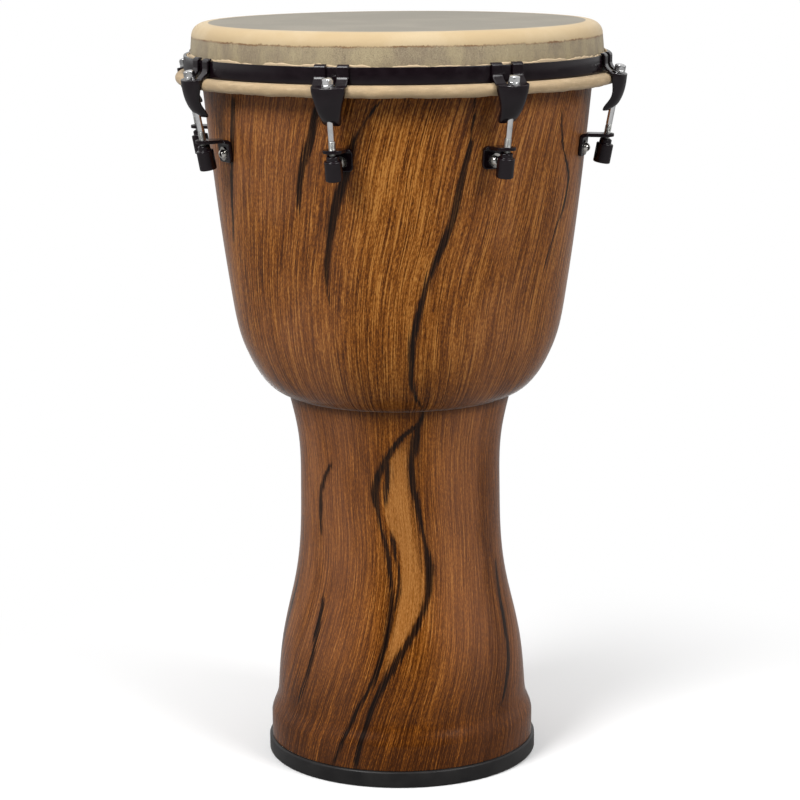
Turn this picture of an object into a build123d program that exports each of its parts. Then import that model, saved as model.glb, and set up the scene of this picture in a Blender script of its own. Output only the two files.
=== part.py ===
from build123d import *
import os
from math import acos, atan2, cos, radians, sin, sqrt, tan

# Djembe with a mechanically tuned head. Millimetres, +Z up, origin at the centre of the base.

# Overall heights
HEIGHT = 656.0  # top of the drumhead
WAIST_HEIGHT = 330.0  # where the stem moulding meets the bowl moulding
WAIST_RADIUS = 98.5
WALL = 7.0

# Foot and rubber base ring
FOOT_RADIUS = 118.2
FOOT_BAND_TOP = 36.0
FOOT_INNER_RADIUS = 110.0
STEM_START_HEIGHT = 62.0
STEM_START_RADIUS = 111.6
RING_RADIUS = 120.7
RING_HEIGHT = 14.6
RING_WALL = 5.0
RING_FLOOR = 4.0
RING_LIP = 3.5
RING_LIP_HEIGHT = 12.0
RING_ROUND = 2.0

# Bearing edge at the top of the bowl
EDGE_CENTRE_RADIUS = 166.5
EDGE_CENTRE_HEIGHT = 644.5
EDGE_ROUND = 10.3
EDGE_INNER_ROUND = 3.5
RIM_LOW_RADIUS = 170.2
RIM_LOW_HEIGHT = 612.0
RIM_HIGH_HEIGHT = 636.0

# Drumhead skin and the hoops that pull it down
SKIN = 1.2
WRAP_CENTRE_RADIUS = 187.2
WRAP_CENTRE_HEIGHT = 609.5
WRAP_ROUND = 5.2  # outside of the rolled skin
FLESH_ROD_RADIUS = 3.7
COLLAR_MID = (179.2, 629.0)
COLLAR_LOW = (179.6, 616.0)
TUCK_RADIUS = 182.1
TUCK_TOP = 631.0
TUCK_FOLD_HEIGHT = 614.0
HOOP_INNER_RADIUS = 182.6
HOOP_OUTER_RADIUS = 185.0
HOOP_LOW = 614.6
HOOP_HIGH = 629.0
ROLL_END_ANGLE = 115.0  # where the roll ends and the tail begins, from the outward direction

# Lugs: eight equal stations round the shell, each on a rod that leans outward
LUG_COUNT = 8
FIRST_LUG_ANGLE = -151.5  # from +X
ROD_LEAN = 11.0
ROD_FOOT_RADIUS = 183.1  # where the rod's axis crosses ROD_FOOT_HEIGHT
ROD_FOOT_HEIGHT = 546.0
ROD_SHANK_RADIUS = 2.65
ROD_THREAD_RADIUS = 2.95
THREAD_TOP_HEIGHT = 570.0
ROD_END = 0.4  # along the rod's axis from its foot point
HEAD_ACROSS_FLATS = 8.6
HEAD_HEIGHT = 6.5
HEAD_DOME_ROUND = 12.0
THREAD_CHAMFER = 0.5
ROD_WASHER_RADIUS = 5.1
ROD_WASHER = 1.1
ROD_WASHER_HOLE_RADIUS = 3.15

# Claw
CLAW_TOP_HEIGHT = 614.0  # on the rod's axis
CLAW_PLATE = 2.4
CLAW_WALL = 2.3
CLAW_HOLE_RADIUS = 3.4
ROLL_CLEARANCE = 0.4
TAB_THICKNESS = 2.0
TAB_WIDTH = 10.0
TAB_GAP = 9.5
TAB_MID_RADIUS = 186.4
TAB_TOP = 630.2  # middle of the tab where it lies on the hoop
TAB_BEND = 2.0
TAB_LOW_BEND = 4.0
TAB_LOW_BEND_HEIGHT = 621.5
TAB_LOW_BEND_ANGLE = 45.0
TAB_FOOT = 5.2  # how far, outward and downward, the tab runs on into the hood
TAB_INSET = 0.3  # between the hoop's inner face and the tab's tip

# Claw hood, level sections from the top down: height, back, front and width
HOOD_SECTIONS = (
    (618.0, 191.6, 203.0, 30.0),
    (611.0, 192.0, 202.6, 29.0),
    (603.0, 192.8, 201.6, 24.6),
    (596.0, 192.0, 199.7, 20.8),
    (590.5, 188.8, 197.2, 18.0),
    (586.5, 185.4, 194.2, 16.4),
    (582.0, 183.4, 187.6, 14.0),
)
HOOD_HOLLOW_SECTIONS = 6  # how many of them, from the top, the hollow reaches
HOOD_BULGE = 0.75  # share of the hood's depth that its half-oval front takes

# Swivel nut
NUT_RADIUS = 7.3
NUT_LOW = -8.7  # along the rod's axis
NUT_SHOULDER = 8.1
NUT_NECK_RADIUS = 5.2
NUT_SEAT_ROUND = 9.0
NUT_BORE_RADIUS = 3.0
NUT_BORE_LOW = -6.9
NUT_CHAMFER = 0.6
NUT_GAP = 0.3  # between the nut's round seat and the flange

# Bracket and the bolt that holds it
FLANGE_LOW = 559.5
FLANGE_HIGH = 562.5
FLANGE_TIP_RADIUS = 192.2
FLANGE_WIDTH = 17.0
SLOT_WIDTH = 6.9
SLOT_LENGTH = 8.7
SLOT_OFFSET = 0.2  # the rod moves further out than in as it is tuned
PLATE = 3.0
PLATE_WIDTH = 22.0
PLATE_BELOW_BOLT = 7.4
PLATE_ABOVE_BOLT = 12.6
PLATE_CORNER = 4.0
BRACKET_BEND = 4.0
PLATE_BEND_INSIDE = 2.0
BEND_ROUND = 1.05  # the bend is a little past square, so its round is a little larger
BRACKET_GAP = 0.05  # the flat plate touches the round wall along one line only
BOLT_HEIGHT = 550.5
BOLT_RADIUS = 2.45
BOLT_HOLE_RADIUS = 2.7
BOLT_HEAD_RADIUS = 4.0
BOLT_HEAD_HEIGHT = 3.8
WASHER_RADIUS = 6.0
WASHER = 1.0
BOLT_NUT_ACROSS_FLATS = 8.0
BOLT_NUT_HEIGHT = 4.0
BOLT_NUT_BORE_RADIUS = 2.5
BOLT_END_PAST_NUT = 1.6
INSIDE_GAP = 0.35  # a flat washer inside a round wall touches only at its edges

CUT = 1.0  # how far a cutting shape reaches past what it cuts
BEYOND_LUG = 120.0  # larger than one lug

UPRIGHT = (Align.CENTER, Align.CENTER, Align.MIN)


# ---------- helpers ----------


def turned(outline):
    """A solid of revolution about Z from a closed outline of (radius, height) curves."""
    return revolve(Plane.XZ * make_face(outline), Axis.Z)


def side_on(outline, width):
    """A plate of this width, centred on the lug's middle plane, from an outline in X and Z."""
    return extrude(Plane.XZ * make_face(outline), amount=width / 2, both=True)


def inside_of(curve, steps):
    """The curve one wall thickness inside an outer curve that runs upward."""
    points = []
    for step in range(steps + 1):
        distance = curve.length * step / steps
        along = curve.tangent_at(distance, position_mode=PositionMode.LENGTH)
        point = curve.position_at(distance, position_mode=PositionMode.LENGTH)
        points.append((point.X - along.Y * WALL, point.Y + along.X * WALL))
    return Spline(*points)


def parameter_at(curve, height):
    """Where along an upward curve a height is reached."""
    low, high = 0.0, 1.0
    for _ in range(40):
        middle = (low + high) / 2
        if curve.position_at(middle).Y < height:
            low = middle
        else:
            high = middle
    return middle


def on_wrap(radius, angle):
    """A point on a circle round the flesh hoop's rod."""
    return (WRAP_CENTRE_RADIUS + radius * cos(angle), WRAP_CENTRE_HEIGHT + radius * sin(angle))


def tangent_point(start, radius):
    """Where a line from start touches the under side of a circle round the flesh hoop's rod."""
    across = start[0] - WRAP_CENTRE_RADIUS
    up = start[1] - WRAP_CENTRE_HEIGHT
    angle = atan2(up, across) + acos(radius / sqrt(across**2 + up**2))
    return on_wrap(radius, angle)


def at_every_lug(piece):
    """The same piece at each of the lug stations."""
    return [Rot(0, 0, FIRST_LUG_ANGLE + 360 / LUG_COUNT * i) * piece for i in range(LUG_COUNT)]


def save(node, piece):
    piece.label = node
    export_step(piece, f"parts/{node}.step")


def save_each(node, pieces):
    for number, piece in enumerate(pieces, start=1):
        save(f"{node}_{number}", piece)


def save_group(node, pieces):
    save(node, Compound(children=[solid for piece in pieces for solid in piece.solids()]))


# ---------- frames at one lug, which lies along +X ----------

LEAN = radians(ROD_LEAN)
ROD_FRAME = Plane(
    origin=(ROD_FOOT_RADIUS, 0, ROD_FOOT_HEIGHT),
    x_dir=(cos(LEAN), 0, -sin(LEAN)),
    z_dir=(sin(LEAN), 0, cos(LEAN)),
)


def along_rod(height):
    """Distance along the rod's axis, from its foot point, at which it reaches a height."""
    return (height - ROD_FOOT_HEIGHT) / cos(LEAN)


def rod_radius_at(height):
    """The rod axis's distance from the drum's axis at a height."""
    return ROD_FOOT_RADIUS + (height - ROD_FOOT_HEIGHT) * tan(LEAN)


def on_rod(radius, low, high):
    """A cylinder on the rod's axis between two distances along it."""
    return ROD_FRAME * Pos(0, 0, low) * Cylinder(radius, high - low, align=UPRIGHT)


CLAW_TOP = along_rod(CLAW_TOP_HEIGHT)

# ---------- shells ----------

foot_shoulder = Spline(
    (FOOT_RADIUS, FOOT_BAND_TOP),
    (117.0, 40.5),
    (113.3, 50.0),
    (STEM_START_RADIUS, STEM_START_HEIGHT),
)
stem_curve = Spline(
    (STEM_START_RADIUS, STEM_START_HEIGHT),
    (108.1, 100.0),
    (102.2, 130.0),
    (95.3, 160.0),
    (91.0, 190.0),
    (89.1, 245.0),
    (90.6, 292.0),
    (WAIST_RADIUS, WAIST_HEIGHT),
)
bowl_curve = Spline(
    (WAIST_RADIUS, WAIST_HEIGHT),
    (110.5, 335.6),
    (121.5, 346.0),
    (131.5, 362.5),
    (139.2, 381.0),
    (146.6, 416.0),
    (152.5, 456.0),
    (161.1, 525.0),
    (RIM_LOW_RADIUS, RIM_LOW_HEIGHT),
)
stem_inside = inside_of(stem_curve, 16)
bowl_inside = inside_of(bowl_curve, 20)
tongue = stem_inside @ 1  # the stem's inner lip, which the bowl's rebate sits over
TONGUE_RADIUS = WAIST_RADIUS - WALL / 2


def foot_shell():
    ledge = RING_RADIUS - RING_WALL
    low = stem_inside @ 0
    outline = [
        Polyline(
            (low.X, low.Y),
            (FOOT_INNER_RADIUS, RING_HEIGHT),
            (FOOT_INNER_RADIUS, RING_FLOOR),
            (ledge, RING_FLOOR),
            (ledge, RING_HEIGHT),
            (FOOT_RADIUS, RING_HEIGHT),
            (FOOT_RADIUS, FOOT_BAND_TOP),
        ),
        foot_shoulder,
        stem_curve,
        Polyline(
            (WAIST_RADIUS, WAIST_HEIGHT),
            (TONGUE_RADIUS, WAIST_HEIGHT),
            (TONGUE_RADIUS, tongue.Y),
            (tongue.X, tongue.Y),
        ),
        stem_inside,
    ]
    return turned(outline)


def bowl_shell():
    throat = bowl_inside @ 0
    top = bowl_inside @ 1
    edge_radius = EDGE_CENTRE_RADIUS + EDGE_ROUND
    crown = EDGE_CENTRE_HEIGHT + EDGE_ROUND
    inner_radius = EDGE_CENTRE_RADIUS - EDGE_INNER_ROUND
    outline = [
        Polyline(
            (WAIST_RADIUS, WAIST_HEIGHT),
            (TONGUE_RADIUS, WAIST_HEIGHT),
            (TONGUE_RADIUS, tongue.Y),
            (tongue.X, tongue.Y),
        ),
        Line((tongue.X, tongue.Y), (throat.X, throat.Y)),
        bowl_inside,
        Line((top.X, top.Y), (inner_radius, crown - EDGE_INNER_ROUND)),
        RadiusArc(
            (inner_radius, crown - EDGE_INNER_ROUND),
            (EDGE_CENTRE_RADIUS, crown),
            EDGE_INNER_ROUND,
        ),
        RadiusArc((EDGE_CENTRE_RADIUS, crown), (edge_radius, EDGE_CENTRE_HEIGHT), EDGE_ROUND),
        Polyline(
            (edge_radius, EDGE_CENTRE_HEIGHT),
            (edge_radius, RIM_HIGH_HEIGHT),
            (RIM_LOW_RADIUS, RIM_LOW_HEIGHT),
        ),
        bowl_curve,
    ]
    return turned(outline)


def base_ring():
    """A rubber channel that the foot of the shell sits in."""
    ledge = RING_RADIUS - RING_WALL
    lip_inner = FOOT_INNER_RADIUS - RING_LIP
    outline = [
        Line((lip_inner, 0), (RING_RADIUS - RING_ROUND, 0)),
        RadiusArc((RING_RADIUS - RING_ROUND, 0), (RING_RADIUS, RING_ROUND), -RING_ROUND),
        Line((RING_RADIUS, RING_ROUND), (RING_RADIUS, RING_HEIGHT - RING_ROUND)),
        RadiusArc(
            (RING_RADIUS, RING_HEIGHT - RING_ROUND),
            (RING_RADIUS - RING_ROUND, RING_HEIGHT),
            -RING_ROUND,
        ),
        Polyline(
            (RING_RADIUS - RING_ROUND, RING_HEIGHT),
            (ledge, RING_HEIGHT),
            (ledge, RING_FLOOR),
            (FOOT_INNER_RADIUS, RING_FLOOR),
            (FOOT_INNER_RADIUS, RING_LIP_HEIGHT),
            (lip_inner, RING_LIP_HEIGHT),
            (lip_inner, 0),
        ),
    ]
    return turned(outline)


# ---------- head ----------


def drumhead_skin():
    """The skin, its collar, the roll round the flesh hoop and the tail tucked inside the hoop."""
    outer = EDGE_CENTRE_RADIUS + EDGE_ROUND + SKIN
    under = outer - SKIN
    inner_round = WRAP_ROUND - SKIN
    outer_touch = tangent_point((COLLAR_LOW[0] - SKIN, COLLAR_LOW[1]), WRAP_ROUND)
    inner_touch = tangent_point(COLLAR_LOW, inner_round)
    roll_right = on_wrap(WRAP_ROUND, 0)
    hollow_right = on_wrap(inner_round, 0)
    roll_end = on_wrap(WRAP_ROUND, radians(ROLL_END_ANGLE))
    hollow_end = on_wrap(inner_round, radians(ROLL_END_ANGLE))
    tail_inner = TUCK_RADIUS - SKIN
    outline = [
        Line((0, HEIGHT), (EDGE_CENTRE_RADIUS, HEIGHT)),
        RadiusArc((EDGE_CENTRE_RADIUS, HEIGHT), (outer, EDGE_CENTRE_HEIGHT), EDGE_ROUND + SKIN),
        Polyline((outer, EDGE_CENTRE_HEIGHT), COLLAR_MID, COLLAR_LOW, inner_touch),
        RadiusArc(inner_touch, hollow_right, -inner_round),
        RadiusArc(hollow_right, hollow_end, -inner_round),
        Polyline(
            hollow_end,
            (tail_inner, TUCK_FOLD_HEIGHT - SKIN),
            (tail_inner, TUCK_TOP),
            (TUCK_RADIUS, TUCK_TOP),
            (TUCK_RADIUS, TUCK_FOLD_HEIGHT),
            roll_end,
        ),
        RadiusArc(roll_end, roll_right, WRAP_ROUND),
        RadiusArc(roll_right, outer_touch, WRAP_ROUND),
        Polyline(
            outer_touch,
            (COLLAR_LOW[0] - SKIN, COLLAR_LOW[1]),
            (COLLAR_MID[0] - SKIN, COLLAR_MID[1]),
            (under, EDGE_CENTRE_HEIGHT),
        ),
        RadiusArc((under, EDGE_CENTRE_HEIGHT), (EDGE_CENTRE_RADIUS, HEIGHT - SKIN), -EDGE_ROUND),
        Polyline((EDGE_CENTRE_RADIUS, HEIGHT - SKIN), (0, HEIGHT - SKIN), (0, HEIGHT)),
    ]
    return turned(outline)


def flesh_hoop():
    """The steel rod ring that the edge of the skin is rolled round."""
    return Pos(0, 0, WRAP_CENTRE_HEIGHT) * Torus(WRAP_CENTRE_RADIUS, FLESH_ROD_RADIUS)


def counter_hoop():
    """The flat steel hoop that the claws pull down."""
    tall = HOOP_HIGH - HOOP_LOW
    outside = Cylinder(HOOP_OUTER_RADIUS, tall, align=UPRIGHT)
    return Pos(0, 0, HOOP_LOW) * (outside - Cylinder(HOOP_INNER_RADIUS, tall, align=UPRIGHT))


# ---------- one lug ----------


def below_on_rod(distance):
    """Everything near the lug that lies below a plane square to the rod."""
    below = Box(BEYOND_LUG, BEYOND_LUG, BEYOND_LUG, align=(Align.CENTER, Align.CENTER, Align.MAX))
    return ROD_FRAME * Pos(0, 0, distance) * below


def hood_section(height, back, front, width):
    """A level section: straight sides and a half-oval front."""
    bulge = HOOD_BULGE * (front - back)
    middle = front - bulge
    outline = [
        Line((back, width / 2), (back, -width / 2)),
        Line((back, -width / 2), (middle, -width / 2)),
        EllipticalCenterArc((middle, 0), bulge, width / 2, start_angle=-90, arc_size=180),
        Line((middle, width / 2), (back, width / 2)),
    ]
    return Pos(0, 0, height) * make_face(outline)


def claw_hood():
    outside = loft([hood_section(*section) for section in HOOD_SECTIONS])
    hollow_sections = []
    for height, back, front, width in HOOD_SECTIONS[:HOOD_HOLLOW_SECTIONS]:
        hollow_sections.append(
            hood_section(height, back - 2 * CLAW_WALL, front - CLAW_WALL, width - 2 * CLAW_WALL)
        )
    hollow = loft(hollow_sections) & below_on_rod(CLAW_TOP - CLAW_PLATE)
    return (outside & below_on_rod(CLAW_TOP)) - hollow


def claw_tab():
    """One of the two tabs that run up the hoop's outer face and fold over its top."""
    fold_centre = (TAB_MID_RADIUS - TAB_BEND, TAB_TOP - TAB_BEND)
    low_centre = (TAB_MID_RADIUS + TAB_LOW_BEND, TAB_LOW_BEND_HEIGHT)
    low_end = (
        low_centre[0] - TAB_LOW_BEND * cos(radians(TAB_LOW_BEND_ANGLE)),
        low_centre[1] - TAB_LOW_BEND * sin(radians(TAB_LOW_BEND_ANGLE)),
    )
    path = [
        Line((HOOP_INNER_RADIUS + TAB_INSET, TAB_TOP), (fold_centre[0], TAB_TOP)),
        CenterArc(fold_centre, TAB_BEND, 0, 90),
        Line((TAB_MID_RADIUS, fold_centre[1]), (TAB_MID_RADIUS, TAB_LOW_BEND_HEIGHT)),
        CenterArc(low_centre, TAB_LOW_BEND, 180, TAB_LOW_BEND_ANGLE),
        Line(low_end, (low_end[0] + TAB_FOOT, low_end[1] - TAB_FOOT)),
    ]
    strip = trace(path, TAB_THICKNESS)
    return extrude(Plane.XZ * strip, amount=TAB_WIDTH / 2, both=True)


def claw():
    tab_offset = (TAB_GAP + TAB_WIDTH) / 2
    tab = claw_tab()
    roll_space = Torus(WRAP_CENTRE_RADIUS, WRAP_ROUND + ROLL_CLEARANCE)
    roll_space = Pos(0, 0, WRAP_CENTRE_HEIGHT) * roll_space
    body = claw_hood() + Pos(0, tab_offset, 0) * tab + Pos(0, -tab_offset, 0) * tab
    hole = on_rod(CLAW_HOLE_RADIUS, along_rod(FLANGE_HIGH), CLAW_TOP + CUT)
    return body - roll_space - hole


def rod_washer():
    hole = on_rod(ROD_WASHER_HOLE_RADIUS, CLAW_TOP - CUT, CLAW_TOP + ROD_WASHER + CUT)
    return on_rod(ROD_WASHER_RADIUS, CLAW_TOP, CLAW_TOP + ROD_WASHER) - hole


def hexagon(across_flats, low, high, frame):
    face = RegularPolygon(across_flats / 2, 6, major_radius=False)
    return frame * Pos(0, 0, low) * extrude(face, amount=high - low)


def tension_rod():
    """Hex-headed tuning rod: plain shank above, thread below, drawn at the thread's crest."""
    head_low = CLAW_TOP + ROD_WASHER
    head_high = head_low + HEAD_HEIGHT
    thread_top = along_rod(THREAD_TOP_HEIGHT)
    dome = ROD_FRAME * Pos(0, 0, head_high - HEAD_DOME_ROUND) * Sphere(HEAD_DOME_ROUND)
    head = hexagon(HEAD_ACROSS_FLATS, head_low, head_high, ROD_FRAME) & dome
    thread = Cylinder(ROD_THREAD_RADIUS, thread_top - ROD_END, align=UPRIGHT)
    thread = chamfer(thread.edges(), THREAD_CHAMFER)
    shank = on_rod(ROD_SHANK_RADIUS, thread_top - THREAD_CHAMFER, head_low + CUT)
    return head + shank + ROD_FRAME * Pos(0, 0, ROD_END) * thread


def swivel_nut():
    """Blind nut under the flange, with a rounded seat so that it can follow the rod's lean."""
    seat_height = FLANGE_LOW - NUT_GAP - NUT_SEAT_ROUND
    seat_centre = (rod_radius_at(seat_height), 0, seat_height)
    neck_top = NUT_SHOULDER + NUT_SEAT_ROUND  # the ball cuts it shorter
    neck = on_rod(NUT_NECK_RADIUS, NUT_SHOULDER - CUT, neck_top)
    neck = neck & Pos(*seat_centre) * Sphere(NUT_SEAT_ROUND)
    barrel = Cylinder(NUT_RADIUS, NUT_SHOULDER - NUT_LOW, align=UPRIGHT)
    barrel = ROD_FRAME * Pos(0, 0, NUT_LOW) * chamfer(barrel.edges(), NUT_CHAMFER)
    return barrel + neck - on_rod(NUT_BORE_RADIUS, NUT_BORE_LOW, neck_top + CUT)


# The bolt's frame: square to the shell's wall, on the outer face of the bracket's plate
bolt_parameter = parameter_at(bowl_curve, BOLT_HEIGHT)
wall_point = bowl_curve.position_at(bolt_parameter)
wall_up = bowl_curve.tangent_at(bolt_parameter)
BOLT_FRAME = Plane(
    origin=(wall_point.X + PLATE * wall_up.Y, 0, wall_point.Y - PLATE * wall_up.X),
    x_dir=(wall_up.X, 0, wall_up.Y),
    z_dir=(wall_up.Y, 0, -wall_up.X),
)
WALL_INSIDE = -(PLATE + WALL)  # along the bolt's axis


def on_bolt(radius, low, high):
    """A cylinder on the bracket bolt's axis between two distances along it."""
    return BOLT_FRAME * Pos(0, 0, low) * Cylinder(radius, high - low, align=UPRIGHT)


def plate_face_at(distance):
    """A point on the plate's outer face, this far up the wall from the bolt."""
    origin = BOLT_FRAME.origin
    return (origin.X + wall_up.X * distance, origin.Z + wall_up.Y * distance)


def lug_bracket():
    """An L of steel plate: a leg against the shell and a slotted flange that the rod pulls up on."""
    low = plate_face_at(-PLATE_BELOW_BOLT)
    bend_start = plate_face_at(FLANGE_LOW - PLATE_BEND_INSIDE - BOLT_HEIGHT)
    bend_end = (bend_start[0] + PLATE_BEND_INSIDE, FLANGE_LOW)
    back = -(PLATE - BRACKET_GAP)  # along the bolt's axis
    back_low = (low[0] + back * wall_up.Y, low[1] - back * wall_up.X)
    corner = plate_face_at(FLANGE_HIGH - BRACKET_BEND - BOLT_HEIGHT)
    corner = (corner[0] + back * wall_up.Y, FLANGE_HIGH - BRACKET_BEND)
    outline = [
        Line(low, bend_start),
        RadiusArc(bend_start, bend_end, BEND_ROUND * PLATE_BEND_INSIDE),
        Polyline(
            bend_end,
            (FLANGE_TIP_RADIUS, FLANGE_LOW),
            (FLANGE_TIP_RADIUS, FLANGE_HIGH),
            (corner[0] + BRACKET_BEND, FLANGE_HIGH),
        ),
        RadiusArc((corner[0] + BRACKET_BEND, FLANGE_HIGH), corner, -BRACKET_BEND),
        Polyline(corner, back_low, low),
    ]
    ell = side_on(outline, PLATE_WIDTH)
    plate_height = PLATE_BELOW_BOLT + PLATE_ABOVE_BOLT
    plate_middle = (PLATE_ABOVE_BOLT - PLATE_BELOW_BOLT) / 2
    leg = RectangleRounded(plate_height, PLATE_WIDTH, PLATE_CORNER)
    leg = BOLT_FRAME * Pos(plate_middle, 0, -PLATE) * extrude(leg, amount=2 * PLATE)
    flange_length = 2 * (FLANGE_TIP_RADIUS - corner[0])
    flange = SlotOverall(flange_length, FLANGE_WIDTH)
    flange = Pos(FLANGE_TIP_RADIUS - flange_length / 2, 0, FLANGE_LOW) * extrude(flange, amount=PLATE)
    slot = SlotOverall(SLOT_LENGTH, SLOT_WIDTH)
    slot_radius = rod_radius_at(FLANGE_LOW + PLATE / 2) + SLOT_OFFSET
    slot = Pos(slot_radius, 0, FLANGE_LOW - CUT) * extrude(slot, amount=PLATE + 2 * CUT)
    return (ell & (leg + flange)) - slot - on_bolt(BOLT_HOLE_RADIUS, -PLATE - CUT, CUT)


def washer_on_bolt(low):
    hole = on_bolt(BOLT_HOLE_RADIUS, low - CUT, low + WASHER + CUT)
    return on_bolt(WASHER_RADIUS, low, low + WASHER) - hole


def inner_washer():
    return washer_on_bolt(WALL_INSIDE - INSIDE_GAP - WASHER)


def bracket_nut():
    high = WALL_INSIDE - INSIDE_GAP - WASHER
    low = high - BOLT_NUT_HEIGHT
    bore = on_bolt(BOLT_NUT_BORE_RADIUS, low - CUT, high + CUT)
    return hexagon(BOLT_NUT_ACROSS_FLATS, low, high, BOLT_FRAME) - bore


def bracket_bolt():
    end = WALL_INSIDE - INSIDE_GAP - WASHER - BOLT_NUT_HEIGHT - BOLT_END_PAST_NUT
    dome_round = (BOLT_HEAD_RADIUS**2 + BOLT_HEAD_HEIGHT**2) / (2 * BOLT_HEAD_HEIGHT)
    dome = BOLT_FRAME * Pos(0, 0, WASHER + BOLT_HEAD_HEIGHT - dome_round) * Sphere(dome_round)
    head = on_bolt(dome_round, WASHER, WASHER + BOLT_HEAD_HEIGHT) & dome
    return head + on_bolt(BOLT_RADIUS, end, WASHER + CUT)


# ---------- make and save ----------

os.makedirs("parts", exist_ok=True)

bolt_holes = at_every_lug(on_bolt(BOLT_HOLE_RADIUS, WALL_INSIDE - WALL, PLATE))
save("foot_shell", foot_shell())
save("bowl_shell", bowl_shell() - bolt_holes)
save("base_ring", base_ring())
save("drumhead_skin", drumhead_skin())
save("flesh_hoop", flesh_hoop())
save("counter_hoop", counter_hoop())
save_each("claw", at_every_lug(claw()))
save_each("tension_rod", at_every_lug(tension_rod()))
save_each("swivel_nut", at_every_lug(swivel_nut()))
save_each("lug_bracket", at_every_lug(lug_bracket()))
save_group("rod_washers", at_every_lug(rod_washer()))
save_group("bracket_bolts", at_every_lug(bracket_bolt()))
save_group("bracket_washers", at_every_lug(washer_on_bolt(0)))
save_group("inner_washers", at_every_lug(inner_washer()))
save_group("bracket_nuts", at_every_lug(bracket_nut()))
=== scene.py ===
from math import acos, atan2, cos, degrees, hypot, pi, radians, sin, tan

import bmesh
import bpy
from mathutils import Matrix, Vector, noise


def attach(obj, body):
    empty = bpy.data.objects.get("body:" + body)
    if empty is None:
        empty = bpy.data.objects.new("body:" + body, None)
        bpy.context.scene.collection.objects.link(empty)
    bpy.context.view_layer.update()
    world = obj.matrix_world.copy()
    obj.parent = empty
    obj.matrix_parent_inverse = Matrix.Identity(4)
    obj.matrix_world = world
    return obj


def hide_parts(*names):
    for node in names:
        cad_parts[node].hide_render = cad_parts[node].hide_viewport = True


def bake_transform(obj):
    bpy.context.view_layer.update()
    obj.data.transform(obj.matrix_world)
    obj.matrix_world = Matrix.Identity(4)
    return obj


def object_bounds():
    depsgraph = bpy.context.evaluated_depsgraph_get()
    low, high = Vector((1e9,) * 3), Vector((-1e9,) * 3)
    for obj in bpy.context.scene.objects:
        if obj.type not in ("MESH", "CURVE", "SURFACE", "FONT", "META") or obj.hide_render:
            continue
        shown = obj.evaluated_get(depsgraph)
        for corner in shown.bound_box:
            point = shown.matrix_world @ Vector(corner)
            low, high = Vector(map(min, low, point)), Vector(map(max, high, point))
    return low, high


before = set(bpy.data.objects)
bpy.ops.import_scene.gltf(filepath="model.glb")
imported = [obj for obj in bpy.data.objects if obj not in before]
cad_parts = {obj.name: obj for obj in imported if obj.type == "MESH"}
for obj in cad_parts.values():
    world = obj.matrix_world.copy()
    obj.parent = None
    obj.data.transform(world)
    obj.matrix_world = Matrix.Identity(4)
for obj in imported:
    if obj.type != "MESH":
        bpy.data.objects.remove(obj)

# Looks for a djembe, built round its CAD frame. The drum's sizes are in millimetres and are
# turned into metres where a mesh is made. +Z is up and the origin is the centre of the base.
# An azimuth is in degrees from the front of the drum, which faces -Y, towards +X.

MM = 0.001
cad_low, cad_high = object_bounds()
HEIGHT = cad_high.z / MM

# Shell
WALL = 7.0
FOOT_RADIUS = 118.2
FOOT_BAND_TOP = 36.0
FOOT_INNER_RADIUS = 110.0
WAIST = (98.5, 330.0)
SHOULDER_TOP = (111.6, 62.0)
SHOULDER_POINTS = ((FOOT_RADIUS, FOOT_BAND_TOP), (117.0, 40.5), (113.3, 50.0), SHOULDER_TOP)
STEM_POINTS = (
    SHOULDER_TOP,
    (108.1, 100.0),
    (102.2, 130.0),
    (95.3, 160.0),
    (91.0, 190.0),
    (89.1, 245.0),
    (90.6, 292.0),
    WAIST,
)
BOWL_POINTS = (
    WAIST,
    (110.5, 335.6),
    (121.5, 346.0),
    (131.5, 362.5),
    (139.2, 381.0),
    (146.6, 416.0),
    (152.5, 456.0),
    (161.1, 525.0),
    (170.2, 612.0),
)
RIM_HIGH_HEIGHT = 636.0
EDGE_CENTRE = (166.5, 644.5)
EDGE_ROUND = 10.3
EDGE_INNER_ROUND = 3.5
FOOT_CHAMFER = 0.4

# Base ring
RING_RADIUS = 120.7
RING_HEIGHT = 14.6
RING_WALL = 5.0
RING_FLOOR = 4.0
RING_LIP = 3.5
RING_LIP_HEIGHT = 12.0
RING_ROUND = 2.0
RING_CHAMFER = 0.4
RING_LIP_CHAMFER = 0.5

# Head
SKIN = 1.2
PATCH_RADIUS = 163.2  # the grey playing surface
BAND_LOW = 644.6  # where the tan band round the edge stops
COLLAR = ((178.0, 644.5), (179.2, 629.0), (179.6, 616.0))
WRAP_CENTRE = (187.2, 609.5)
WRAP_ROUND = 5.2
TUCK_RADIUS = 182.1
TUCK_TOP = 630.4
TAIL_LOW = 613.5
TAIL_STEPS = 6
ROLL_END = 115  # degrees, where the roll meets the tail
RAGGED_FROM = 622.0  # the tail's cut edge strays above this height
ROLL_TOP = 616.0
HOOP_INNER_RADIUS = 182.6
HOOP_OUTER_RADIUS = 185.0
HOOP_LOW = 614.6
HOOP_HIGH = 629.0
HOOP_EDGE = 0.5

# Lugs
LUG_COUNT = 8
FIRST_LUG_ANGLE = -151.5  # from +X
ROD_LEAN = 11.0
ROD_FOOT = (183.1, 546.0)
ROD_SHANK_RADIUS = 2.65
ROD_THREAD_RADIUS = 2.95
THREAD_PITCH = 1.0
THREAD_TOP_HEIGHT = 570.0
ROD_END = 0.4
THREAD_DEPTH = 0.55
THREAD_STEPS = 8  # rows of points in one turn of thread
ROD_TIP_RADIUS = 1.9
ROD_STEPS = 20  # points round a rod
HEAD_ACROSS_FLATS = 8.6
HEAD_FLATS_FROM = 2  # the row where the hexagon starts
HEAD_STEPS = 48

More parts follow.
